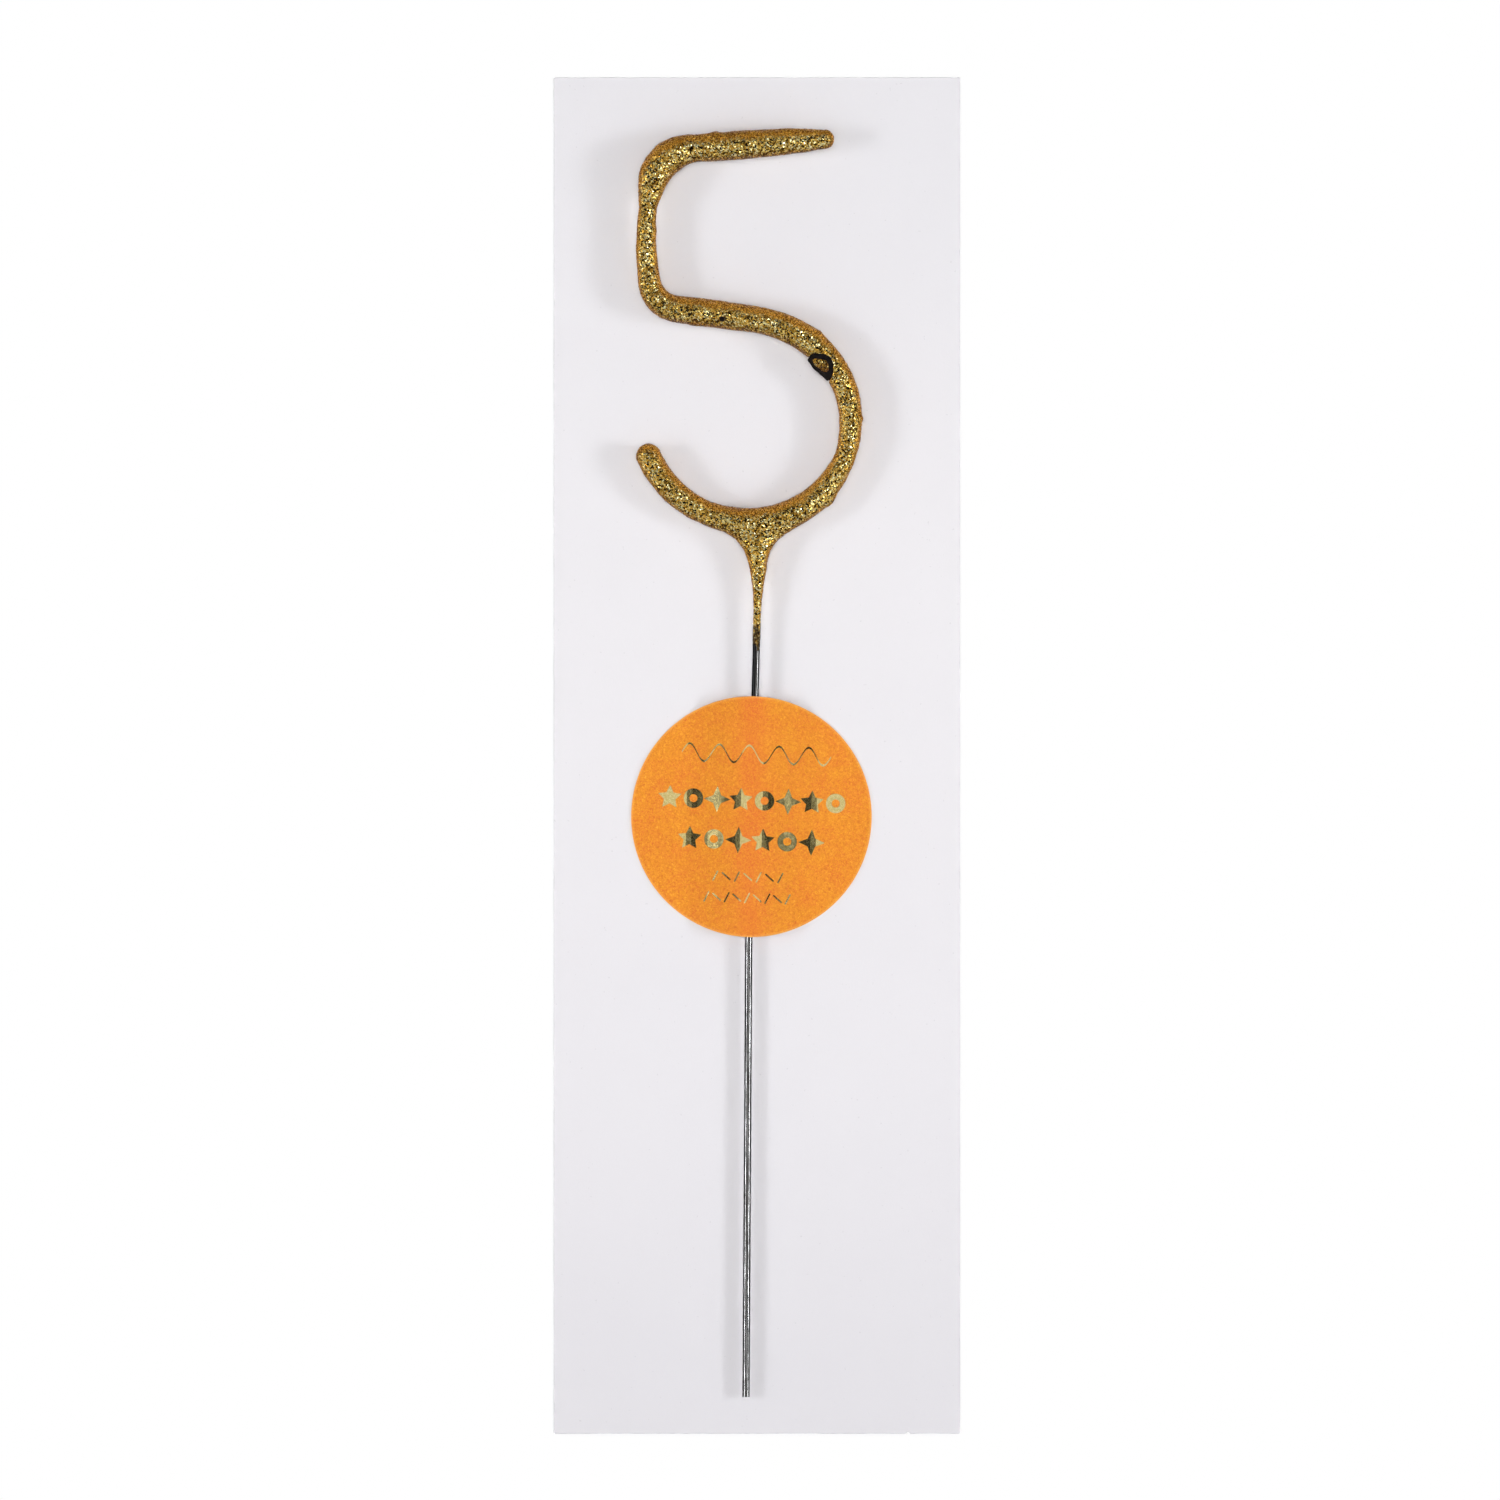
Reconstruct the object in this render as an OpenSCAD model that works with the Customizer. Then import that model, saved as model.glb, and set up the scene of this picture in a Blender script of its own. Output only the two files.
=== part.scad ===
// Hand-dipped sparkler birthday candle in the shape of a 5, held on its retail card by a round
// label. Millimetres. The stem's lower tip is the origin, the stem runs up +Z and the front
// of the candle, the card and the label faces -Y.

/* [Stem wire] */
// Diameter of the steel wire, both of the stem and inside the numeral
wire_d = 1.05; // [0.9:0.05:1.2]
// Length of the straight lower stem, from its tip to the slight bend behind the label
bend_z = 66; // [60:1:68]
// How far the wire is bent there
bend_angle = 1.5; // [1.2:0.1:1.7]
// Direction in which the bend leans, seen from above: 0 is to the right, -90 to the front
bend_azimuth = -42; // [-55:1:-38]
// Radius of that bend
bend_r = 25; // [10:1:40]

/* [Numeral coat] */
// Thickness of the gold glitter lacquer over the dark sparkler composition
skin = 0.18; // [0.12:0.01:0.22]
// Diameter of the numeral in parts of its nominal diameter
plumpness = 1; // [0.95:0.01:1.05]
// Half depth of the web of coating where the numeral runs down into the stem
root_depth = 1.6; // [1.3:0.1:1.8]
// Length of the thin lacquer film that has run down the bare wire
film_len = 7; // [3:0.5:12]

/* [Backing card] */
// Width of the card
card_w = 60; // [58:1:66]
// Height of the card
card_h = 200.2; // [198:0.1:210]
// Thickness of the card
card_t = 0.5; // [0.3:0.05:0.8]
// Space from the stem's axis to the card's front face
card_gap = 1.25; // [1.25:0.05:1.4]
// How much the stem leans on the card
stem_lean = 0.34; // [0:0.01:0.6]

/* [Label] */
// Radius of the round paper label
label_r = 17.75; // [16:0.25:19]
// Thickness of the label paper
label_t = 0.16; // [0.1:0.01:0.25]
// Height of the tent that the label makes over the wire
tent_h = 2.6; // [2.6:0.1:3]
// Half width of the tent where the label comes back down to the card
tent_half_w = 10.4; // [9:0.2:12]
// Thickness of the adhesive between label and card
glue_t = 0.05; // [0.03:0.01:0.1]
// Thickness of the printed gold foil
foil_t = 0.04; // [0.03:0.01:0.06]

/* [Hidden] */

wire_r = wire_d / 2;

// The numeral's wire, bent from its tip at the top right: start x, start z and heading, then
// straights with their length and bends with their radius and turn, left turns positive.
NUMERAL_START = [8.1, 185.7, 185.5];
NUMERAL = [
    ["straight", 19.4],
    ["bend", 6.7, 74.5],
    ["bend", 40, 21],
    ["bend", 4.5, 73],
    ["straight", 11.1],
    ["bend", 20, -22.5],
    ["bend", 14.7, -148],
    ["bend", 16.5, -68]
];
bowl_step = 6;

// Coated diameter of the numeral at distances along its wire, thin at the dipped tip, fat at
// the first corner where the slurry gathered, and thinnest on the upright.
COAT_D = [
    [0, 2.9], [1.5, 3.2], [3, 3.5], [6, 3.8], [12, 4.2], [19, 4.1], [23, 5], [27, 4.5],
    [31.5, 2.6], [36, 2.9], [41, 3.2], [46, 3.8], [52, 4.1], [63, 3.9], [69, 4.1], [76, 3.7],
    [88, 3.1], [94, 3.7], [100, 4.3], [107, 4.1], [113, 3.5], [120, 3.7], [125, 3.6]
];

// Half width of the web under the bowl, by how far it is below the bowl's wire.
ROOT_HALF_W = [
    [0.2, 6], [1.4, 4.7], [2.7, 3.1], [4.2, 2], [5.6, 1.5], [7.1, 1.2], [8.6, 0.95],
    [10, 0.76], [11.4, 0.64], [12.6, 0.585]
];
root_top = 0.2;
root_bottom = 12.6;
core_root_bottom = 8.6;
root_slices = 14;
slice_t = 0.02;

// The web hangs a little to the left of the stem at the bowl, and is centred this far below it.
root_shift = -0.4;
root_shift_end = 7;

// Clearances between the coat's layers and round the wires.
layer_gap = 0.01;
channel_gap = 0.04;
film_t = 0.03;
film_gap = 0.01;

// How far a cutting or clipping shape runs past what it cuts.
past = 1;

// Collar at each joint between a straight and a bend, which keeps a wire in one solid.
collar_len = 0.1;
collar_t = 0.004;

// Facets: sides of the swept tubes, their ring spacing and their largest turn between rings.
outer_sides = 20;
inner_sides = 14;
channel_sides = 8;
ring_gap = 2.2;
ring_turn = 10;
cap_rings = 3;
fine = 96;
coarse = 24;

// ---- the numeral's path --------------------------------------------------------------

function step_len(s) = s[0] == "straight" ? s[1] : s[1] * abs(s[2]) * PI / 180;

// The place [x, z, heading] reached from place p after going a distance d into step s.
function go(p, s, d) =
    s[0] == "straight"
    ? [p[0] + d * cos(p[2]), p[1] + d * sin(p[2]), p[2]]
    : let (side = sign(s[2]), r = side * s[1], h = p[2] + d / r * 180 / PI)
      [p[0] + r * (sin(h) - sin(p[2])), p[1] - r * (cos(h) - cos(p[2])), h];

function place_before(i) =
    i == 0 ? NUMERAL_START : go(place_before(i - 1), NUMERAL[i - 1], step_len(NUMERAL[i - 1]));

function len_before(i) = i == 0 ? 0 : len_before(i - 1) + step_len(NUMERAL[i - 1]);

path_len = len_before(len(NUMERAL));

// One ring of a tube: [place, radius, distance along its heading from that place].
function body_rings(inset) = [
    for (i = [0 : len(NUMERAL) - 1])
        let (
            s = NUMERAL[i],
            turn = s[0] == "straight" ? 0 : abs(s[2]),
            n = ceil(max(step_len(s) / ring_gap, turn / ring_turn))
        )
        for (k = [0 : n - 1])
            let (d = step_len(s) * k / n)
            [go(place_before(i), s, d), coat_r(len_before(i) + d, inset), 0]
];

function coat_r(d, inset) = plumpness * lookup(d, COAT_D) / 2 - inset;

function cap(p, r, side) = [
    for (k = [1 : cap_rings])
        let (a = 90 * k / (cap_rings + 0.4))
        [p, r * cos(a), side * r * sin(a)]
];

function reversed(list) = [for (i = [len(list) - 1 : -1 : 0]) list[i]];

function coat_rings(inset) =
    let (
        last = place_before(len(NUMERAL)),
        r0 = coat_r(0, inset),
        r1 = coat_r(path_len, inset)
    )
    concat(reversed(cap(NUMERAL_START, r0, -1)), body_rings(inset), [[last, r1, 0]], cap(last, r1, 1));

// The same rings at one radius, for the hole that the wire lies in.
function channel_rings(r) =
    let (last = place_before(len(NUMERAL)))
    concat(
        [[NUMERAL_START, r, -channel_gap]],
        [for (ring = body_rings(0)) [ring[0], r, 0]],
        [[last, r, channel_gap]]
    );

module tube(rings, sides) {
    points = [
        for (ring = rings)
            let (h = ring[0][2], x = ring[0][0] + ring[2] * cos(h), z = ring[0][1] + ring[2] * sin(h))
            for (k = [0 : sides - 1])
                let (a = 360 * k / sides, u = ring[1] * cos(a))
                [x - u * sin(h), ring[1] * sin(a), z + u * cos(h)]
    ];
    walls = [
        for (i = [0 : len(rings) - 2], k = [0 : sides - 1])
            let (a = i * sides + k, b = i * sides + (k + 1) % sides)
            each [[a, b, b + sides], [a, b + sides, a + sides]]
    ];
    first = [for (k = [sides - 1 : -1 : 0]) k];
    last = [for (k = [0 : sides - 1]) (len(rings) - 1) * sides + k];
    polyhedron(points, concat(walls, [first], [last]), convexity = 10);
}

// ---- the bend in the stem and the weld -----------------------------------------------

bend_len = bend_r * bend_angle * PI / 180;

// Places what is above the bend; its z goes on counting along the wire.
module above_bend() {
    rotate([0, 0, bend_azimuth])
        translate([bend_r, 0, bend_z])
            rotate([0, bend_angle, 0])
                translate([-bend_r, 0, -bend_z - bend_len])
                    rotate([0, 0, -bend_azimuth])
                        children();
}

// Height at which the stem's axis meets the wire at the bottom of the bowl.
bowl_start = place_before(bowl_step);
bowl_r = NUMERAL[bowl_step][1];
bowl_x = bowl_start[0] + bowl_r * sin(bowl_start[2]);
bowl_z = bowl_start[1] - bowl_r * cos(bowl_start[2]);
weld_z = bowl_z - sqrt(bowl_r * bowl_r - bowl_x * bowl_x);

nugget_r = 0.95;
nugget_z = weld_z - wire_r;
stem_top = weld_z - wire_r - 0.1;

module collar() {
    translate([0, 0, -collar_len / 2])
        cylinder(h = collar_len, r = wire_r + collar_t, $fn = fine);
}

module numeral_bends() {
    for (i = [0 : len(NUMERAL) - 1]) {
        s = NUMERAL[i];
        p = place_before(i);
        if (i > 0)
            translate([p[0], 0, p[1]])
                rotate([0, 90 - p[2], 0])
                    collar();
        if (s[0] == "straight") {
            translate([p[0], 0, p[1]])
                rotate([0, 90 - p[2], 0])
                    cylinder(h = s[1], r = wire_r, $fn = fine);
        } else {
            side = sign(s[2]);
            sweep_from = p[2] - 90 * side + min(0, s[2]);
            translate([p[0] - side * s[1] * sin(p[2]), 0, p[1] + side * s[1] * cos(p[2])])
                rotate([90, 0, 0])
                    rotate([0, 0, sweep_from])
                        rotate_extrude(angle = abs(s[2]), $fn = fine)
                            translate([s[1], 0])
                                circle(r = wire_r, $fn = fine);
        }
    }
}

module stem_wire() {
    color("silver") {
        cylinder(h = bend_z, r = wire_r, $fn = fine);
        rotate([0, 0, bend_azimuth])
            translate([bend_r, 0, bend_z])
                mirror([1, 0, 0])
                    rotate([90, 0, 0])
                        rotate_extrude(angle = bend_angle, $fn = fine)
                            translate([bend_r, 0])
                                circle(r = wire_r, $fn = fine);
        translate([0, 0, bend_z])
            collar();
        above_bend()
            translate([0, 0, bend_z + bend_len]) {
                collar();
                cylinder(h = stem_top - bend_z - bend_len, r = wire_r, $fn = fine);
            }
    }
}

module numeral_wire() {
    color("gray")
        above_bend()
            numeral_bends();
}

// Resistance weld that joins the stem's upper end to the bottom of the numeral's wire.
module weld_nugget() {
    color("dimgray")
        above_bend()
            difference() {
                translate([0, 0, nugget_z])
                    sphere(r = nugget_r, $fn = fine);
                translate([0, 0, nugget_z - 2 * nugget_r])
                    cylinder(h = stem_top - nugget_z + 2 * nugget_r, r = wire_r, $fn = fine);
                numeral_bends();
            }
}

// ---- the dipped coat -----------------------------------------------------------------

module root_slice(drop, inset, sides) {
    half_w = lookup(drop, ROOT_HALF_W) - inset;
    half_d = min(half_w, root_depth - inset);
    shift = root_shift * max(0, 1 - pow(drop / root_shift_end, 2));
    translate([shift, 0, weld_z - drop])
        linear_extrude(height = slice_t)
            scale([half_w, half_d])
                circle(r = 1, $fn = sides);
}

// Web of coating from the bowl down to a given drop, as a chain of short lofts.
module root_web(inset, sides, bottom) {
    pitch = (bottom - root_top) / root_slices;
    for (i = [0 : root_slices - 1]) {
        hull() {
            root_slice(root_top + pitch * i, inset, sides);
            root_slice(root_top + pitch * (i + 1), inset, sides);
        }
    }
}

module coated_body(inset, sides, bottom) {
    tube(coat_rings(inset), sides);
    root_web(inset, sides, bottom);
}

// Hole for the stem from below, and the spaces that the nugget and the numeral's wire fill.
module wire_channels() {
    channel_r = (wire_r + channel_gap) / cos(180 / channel_sides);
    tube(channel_rings(channel_r), channel_sides);
    translate([0, 0, nugget_z])
        sphere(r = (nugget_r + channel_gap) / cos(180 / coarse), $fn = coarse);
    translate([0, 0, weld_z - root_bottom - past])
        cylinder(h = root_bottom + past, r = channel_r, $fn = channel_sides);
}

module sparkler_core() {
    color("#2b241f")
        above_bend()
            difference() {
                coated_body(skin + layer_gap, inner_sides, core_root_bottom);
                wire_channels();
            }
}

module gold_coat() {
    film_bottom = weld_z - root_bottom - film_len;
    color("#ac8b4b")
        above_bend()
            difference() {
                union() {
                    coated_body(0, outer_sides, root_bottom);
                    translate([0, 0, film_bottom])
                        cylinder(h = film_len + past, r = wire_r + film_t + film_gap, $fn = coarse);
                }
                coated_body(skin, inner_sides, core_root_bottom);
                translate([0, 0, film_bottom - past])
                    cylinder(
                        h = film_len + past + root_bottom - core_root_bottom + slice_t,
                        r = (wire_r + film_gap) / cos(180 / coarse),
                        $fn = coarse
                    );
            }
}

// ---- the card and the label ----------------------------------------------------------

card_left = -28.4;
card_bottom = -5.5;
label_x = 0.8;
label_z = 85.6;
label_lean = 1.44;
crest_half_w = 0.8;
tent_step = 0.8;
glue_inset = 0.4;

// Turns the card's upright so that the stem leans on it; y is 0 at the card's front face.
module on_card() {
    translate([0, card_gap, 0])
        rotate([0, -stem_lean, 0])
            children();
}

// Puts the label over the upper wire, in front of the card.
module on_label() {
    on_card()
        translate([label_x, 0, label_z])
            rotate([0, label_lean, 0])
                children();
}

// Height of the label's underside above the glue, across the wire.
function tent(x) =
    let (a = min(max(abs(x), crest_half_w), tent_half_w))
    tent_h / 2 * (1 + cos(180 * (a - crest_half_w) / (tent_half_w - crest_half_w)));

TENT_X = [for (x = [-tent_half_w : tent_step : tent_half_w]) x];

// Sheet that follows the tent, from lift to lift + t above the glue, extruded along the wire.
module tent_sheet(lift, t) {
    edge = label_r + past;
    xs = concat([-edge], TENT_X, [edge]);
    translate([0, 0, -edge])
        linear_extrude(height = 2 * edge)
            polygon(concat(
                [for (x = xs) [x, -glue_t - lift - tent(x)]],
                [for (x = reversed(xs)) [x, -glue_t - lift - t - tent(x)]]
            ));
}

module label_column(r) {
    rotate([90, 0, 0])
        cylinder(h = tent_h + past, r = r, $fn = fine);
}

module backing_card() {
    color("#ebebed")
        on_card()
            translate([card_left, 0, card_bottom])
                cube([card_w, card_t, card_h]);
}

module label() {
    color("#f19834")
        on_label()
            intersection() {
                tent_sheet(0, label_t);
                label_column(label_r);
            }
}

// Adhesive film under one flat side of the label.
module glue(side) {
    color("#e9e4d2")
        on_label()
            intersection() {
                rotate([90, 0, 0])
                    cylinder(h = glue_t, r = label_r - glue_inset, $fn = fine);
                translate([side > 0 ? tent_half_w + glue_inset : -label_r, -label_r, -label_r])
                    cube([label_r - tent_half_w - glue_inset, 2 * label_r, 2 * label_r]);
            }
}

module glue_left() {
    glue(-1);
}

module glue_right() {
    glue(1);
}

// ---- the foil ornament ---------------------------------------------------------------

module star(r, points, waist) {
    polygon([
        for (k = [0 : 2 * points - 1])
            let (a = 90 + 180 * k / points, reach = k % 2 == 0 ? r : r * waist)
            [reach * cos(a), reach * sin(a)]
    ]);
}

module ring(r, stroke) {
    difference() {
        circle(r = r, $fn = 20);
        circle(r = r - stroke, $fn = 20);
    }
}

module dash(length, stroke, angle) {
    rotate(angle)
        hull() {
            translate([-length / 2, 0])
                circle(r = stroke / 2, $fn = 8);
            translate([length / 2, 0])
                circle(r = stroke / 2, $fn = 8);
        }
}

// Thin wavy streamer, the ornament's top row.
module streamer(length, height, stroke, waves) {
    xs = [for (k = [0 : 12 * waves]) k / (12 * waves)];
    polygon(concat(
        [for (t = xs) [length * (t - 0.5), height / 2 * sin(360 * waves * t) + stroke / 2]],
        [for (t = reversed(xs)) [length * (t - 0.5), height / 2 * sin(360 * waves * t) - stroke / 2]]
    ));
}

// A row of bold ornaments: five-point stars, rings and four-point sparks in turn.
module bold_row(count, pitch) {
    for (k = [0 : count - 1]) {
        translate([pitch * (k - (count - 1) / 2), 0]) {
            if (k % 3 == 0) {
                star(r = 1.8, points = 5, waist = 0.5);
            } else if (k % 3 == 1) {
                ring(r = 1.45, stroke = 0.85);
            } else {
                star(r = 1.95, points = 4, waist = 0.42);
            }
        }
    }
}

// A thin row of confetti dashes that slant to either side in turn.
module confetti_row(count, pitch) {
    for (k = [0 : count - 1]) {
        translate([pitch * (k - (count - 1) / 2), 0])
            dash(length = 1.5, stroke = 0.22, angle = k % 2 == 0 ? 65 : -40);
    }
}

// The whole print, with the height of each of its five rows above the label's centre.
module ornament() {
    translate([0.4, 9.2])
        streamer(length = 22, height = 2.6, stroke = 0.3, waves = 5);
    translate([0.1, 2.4])
        bold_row(count = 8, pitch = 3.5);
    translate([0, -3.5])
        bold_row(count = 6, pitch = 3.6);
    translate([-0.2, -8.9])
        confetti_row(count = 7, pitch = 1.6);
    translate([-0.2, -12])
        confetti_row(count = 9, pitch = 1.5);
}

module foil_print() {
    color("#9a8238")
        on_label()
            intersection() {
                tent_sheet(label_t, foil_t);
                rotate([90, 0, 0])
                    linear_extrude(height = tent_h + past)
                        rotate(-label_lean / 2)
                            ornament();
            }
}

stem_wire();
numeral_wire();
weld_nugget();
sparkler_core();
gold_coat();
backing_card();
label();
glue_left();
glue_right();
foil_print();
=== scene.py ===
import itertools
import math

import bpy
import numpy as np
from mathutils import Matrix, Vector


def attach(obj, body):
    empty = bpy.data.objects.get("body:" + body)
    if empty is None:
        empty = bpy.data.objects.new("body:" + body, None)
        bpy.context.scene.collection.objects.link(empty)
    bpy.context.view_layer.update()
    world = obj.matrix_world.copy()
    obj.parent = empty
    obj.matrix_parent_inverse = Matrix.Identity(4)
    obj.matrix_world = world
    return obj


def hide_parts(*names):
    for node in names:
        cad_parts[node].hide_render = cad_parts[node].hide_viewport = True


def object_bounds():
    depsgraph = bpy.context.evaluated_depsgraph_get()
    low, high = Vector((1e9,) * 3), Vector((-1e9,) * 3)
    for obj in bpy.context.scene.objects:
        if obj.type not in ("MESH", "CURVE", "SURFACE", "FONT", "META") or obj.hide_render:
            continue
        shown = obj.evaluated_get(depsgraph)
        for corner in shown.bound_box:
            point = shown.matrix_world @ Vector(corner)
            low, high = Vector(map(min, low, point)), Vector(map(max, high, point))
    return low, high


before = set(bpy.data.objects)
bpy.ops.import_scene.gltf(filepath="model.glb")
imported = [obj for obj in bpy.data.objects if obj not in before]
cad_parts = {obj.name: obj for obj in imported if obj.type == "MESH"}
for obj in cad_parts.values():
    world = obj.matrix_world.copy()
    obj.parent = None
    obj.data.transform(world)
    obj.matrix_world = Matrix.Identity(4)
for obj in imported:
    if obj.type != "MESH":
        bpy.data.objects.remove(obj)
cad_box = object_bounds()

MM = 0.001

# ---- the part's own measures, in millimetres, as its CAD has them -----------------------

WIRE_R = 0.525
BEND_Z = 66
BEND_ANGLE = 1.5
BEND_AZIMUTH = -42
BEND_R = 25
BEND_LEN = BEND_R * math.radians(BEND_ANGLE)

# The numeral's wire starts at x and z with a heading in degrees. Each run that follows is either
# a straight length, or a radius and the angle it turns through.
NUMERAL_START = (8.1, 185.7, 185.5)
NUMERAL = [
    (19.4, None, None),
    (None, 6.7, 74.5),
    (None, 40, 21),
    (None, 4.5, 73),
    (11.1, None, None),
    (None, 20, -22.5),
    (None, 14.7, -148),
    (None, 16.5, -68),
]
# Distance along the numeral's wire, and the coat's diameter there.
COAT_D = [
    (0, 2.9), (1.5, 3.2), (3, 3.5), (6, 3.8), (12, 4.2), (19, 4.1), (23, 5), (27, 4.5),
    (31.5, 2.6), (36, 2.9), (41, 3.2), (46, 3.8), (52, 4.1), (63, 3.9), (69, 4.1), (76, 3.7),
    (88, 3.1), (94, 3.7), (100, 4.3), (107, 4.1), (113, 3.5), (120, 3.7), (125, 3.6),
]
# Distance below the weld, and half the width there of the web that runs into the stem.
ROOT_HALF_W = [
    (0.2, 6), (1.4, 4.7), (2.7, 3.1), (4.2, 2), (5.6, 1.5), (7.1, 1.2), (8.6, 0.95),
    (10, 0.76), (11.4, 0.64), (12.6, 0.585),
]
ROOT_DEPTH = 1.6
ROOT_SHIFT = -0.4
ROOT_SHIFT_END = 7
WELD_Z = 129.11
SKIN = 0.18
FILM_LEN = 7

CARD_GAP = 1.25
CARD_T = 0.5
CARD_W = 60
CARD_H = 200.2
CARD_LEFT = -28.4
CARD_BOTTOM = -5.5
STEM_LEAN = 0.34

LABEL_X = 0.8
LABEL_Z = 85.6
LABEL_LEAN = 1.44
LABEL_R = 17.75
LABEL_T = 0.16
TENT_H = 2.6
TENT_HALF_W = 10.4
CREST_HALF_W = 0.8
GLUE_T = 0.05


def turn(axis, degrees):
    return Matrix.Rotation(math.radians(degrees), 4, axis)


def shift(x, y, z):
    return Matrix.Translation((x, y, z))


# From the straight frame above the stem's bend to the part's frame, and the same for the card
# and for the label on it.
ABOVE_BEND = (
    turn("Z", BEND_AZIMUTH) @ shift(BEND_R, 0, BEND_Z) @ turn("Y", BEND_ANGLE)
    @ shift(-BEND_R, 0, -BEND_Z - BEND_LEN) @ turn("Z", -BEND_AZIMUTH)
)
ON_CARD = shift(0, CARD_GAP, 0) @ turn("Y", -STEM_LEAN)
ON_LABEL = ON_CARD @ shift(LABEL_X, 0, LABEL_Z) @ turn("Y", LABEL_LEAN)


def placed(points, matrix):
    """Points in millimetres in a part of the object, as metres in the whole object's frame."""
    m = np.array(matrix)
    return (points @ m[:3, :3].T + m[:3, 3]) * MM


# ---- repeatable noise ---------------------------------------------------------------------


def lattice(i, seed):
    """A number from 0 to 1 for each whole-number place, always the same one."""
    n = (i[:, 0] * 73856093) ^ (i[:, 1] * 19349663) ^ (i[:, 2] * 83492791) ^ (seed * 2654435761)
    n = n & 0xFFFFFFFF
    n = ((n ^ (n >> 16)) * 0x85EBCA6B) & 0xFFFFFFFF
    n = ((n ^ (n >> 13)) * 0xC2B2AE35) & 0xFFFFFFFF
    return (n ^ (n >> 16)) / 0xFFFFFFFF


def noise(p, size, seed):
    """Smooth noise from -1 to 1 whose lumps are about size across."""
    q = p / size
    i = np.floor(q).astype(np.int64)
    t = q - i
    t = t * t * (3 - 2 * t)
    total = np.zeros(len(p))
    for corner in itertools.product((0, 1), repeat=3):
        c = np.array(corner)
        weight = np.prod(np.where(c, t, 1 - t), axis=1)
        total += weight * lattice(i + c, seed)
    return total * 2 - 1


def grains(p, size, seed):
    """Height of a crust of tilted grains: each point takes the plane of the grain nearest to it."""
    q = p / size
    base = np.floor(q).astype(np.int64)
    best = np.full(len(p), 9.0)
    height = np.zeros(len(p))
    for corner in itertools.product((-1, 0, 1), repeat=3):
        i = base + np.array(corner)
        centre = i + np.stack([lattice(i, seed + k) for k in range(3)], axis=1)
        offset = q - centre
        distance = (offset ** 2).sum(1)
        slope = np.stack([lattice(i, seed + 5 + k) for k in range(3)], axis=1) * 2 - 1
        tilt = (slope * offset).sum(1) + lattice(i, seed + 9) - 0.5
        nearer = distance < best
        best = np.where(nearer, distance, best)
        height = np.where(nearer, tilt, height)
    return height


def smooth_step(x, low, high):
    t = np.clip((x - low) / (high - low), 0, 1)
    return t * t * (3 - 2 * t)


# ---- meshes ------------------------------------------------------------------------------


def add_mesh(name, points, faces, body, smooth=True, hides=()):
    """A piece that rides on a body and stands in for the CAD nodes that it hides."""
    mesh = bpy.data.meshes.new(name)
    mesh.from_pydata(points.tolist(), [], faces)
    mesh.validate()
    mesh.polygons.foreach_set("use_smooth", [smooth] * len(mesh.polygons))
    ob = bpy.data.objects.new(name, mesh)
    bpy.context.scene.collection.objects.link(ob)
    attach(ob, body)
    if hides:
        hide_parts(*hides)
    return ob


def add_value(ob, name, values):
    """A number at each vertex, which the material reads by name."""
    layer = ob.data.attributes.new(name, "FLOAT", "POINT")
    layer.data.foreach_set("value", np.asarray(values, np.float32))


def ring_faces(rings, sides):
    """Four-sided faces between rings of points that follow one another."""
    faces = []
    for r in range(rings - 1):
        for k in range(sides):
            a, b = r * sides + k, r * sides + (k + 1) % sides
            faces.append([a, b, b + sides, a + sides])
    return faces


def surface_net(field, origin, step):
    """Points and four-sided faces of the surface where a field of numbers on a grid is zero."""
    shape = np.array(field.shape)
    cells = shape - 1
    total = np.zeros((3, int(cells.prod())))
    count = np.zeros(int(cells.prod()))
    corners, flips = [], []
    for axis in range(3):
        low = [slice(None)] * 3
        high = [slice(None)] * 3
        low[axis], high[axis] = slice(0, -1), slice(1, None)
        a, b = field[tuple(low)], field[tuple(high)]
        at = np.argwhere((a < 0) != (b < 0))
        va, vb = a[tuple(at.T)], b[tuple(at.T)]
        place = at.astype(float)
        place[:, axis] += va / (va - vb)
        u, v = (axis + 1) % 3, (axis + 2) % 3
        ring = []
        for du, dv in ((-1, -1), (0, -1), (0, 0), (-1, 0)):
            cell = at.copy()
            cell[:, u] += du
            cell[:, v] += dv
            index = (cell[:, 0] * cells[1] + cell[:, 1]) * cells[2] + cell[:, 2]
            ring.append(index)
            for k in range(3):
                total[k] += np.bincount(index, weights=place[:, k], minlength=len(count))
            count += np.bincount(index, minlength=len(count))
        corners.append(np.stack(ring, axis=1))
        flips.append(va > vb)
    used = np.flatnonzero(count)
    new_index = np.full(len(count), -1)
    new_index[used] = np.arange(len(used))
    points = (total[:, used] / count[used]).T * step + origin
    quads = np.concatenate(corners)
    flip = np.concatenate(flips)
    quads[flip] = quads[flip][:, ::-1]
    return points, new_index[quads]


def point_normals(points, quads):
    """The normal at each point, averaged over the faces round it."""
    a, b, c, d = (points[quads[:, k]] for k in range(4))
    face = np.cross(c - a, d - b)
    normals = np.zeros_like(points)
    for k in range(4):
        for axis in range(3):
            normals[:, axis] += np.bincount(quads[:, k], weights=face[:, axis], minlength=len(points))
    return normals / np.maximum(np.linalg.norm(normals, axis=1, keepdims=True), 1e-12)


# ---- the dipped numeral --------------------------------------------------------------------

PATH_PITCH = 0.1
GRID_MARGIN = 3.4
BATCH = 4000
ROOT_BLEND = 0.7

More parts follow.
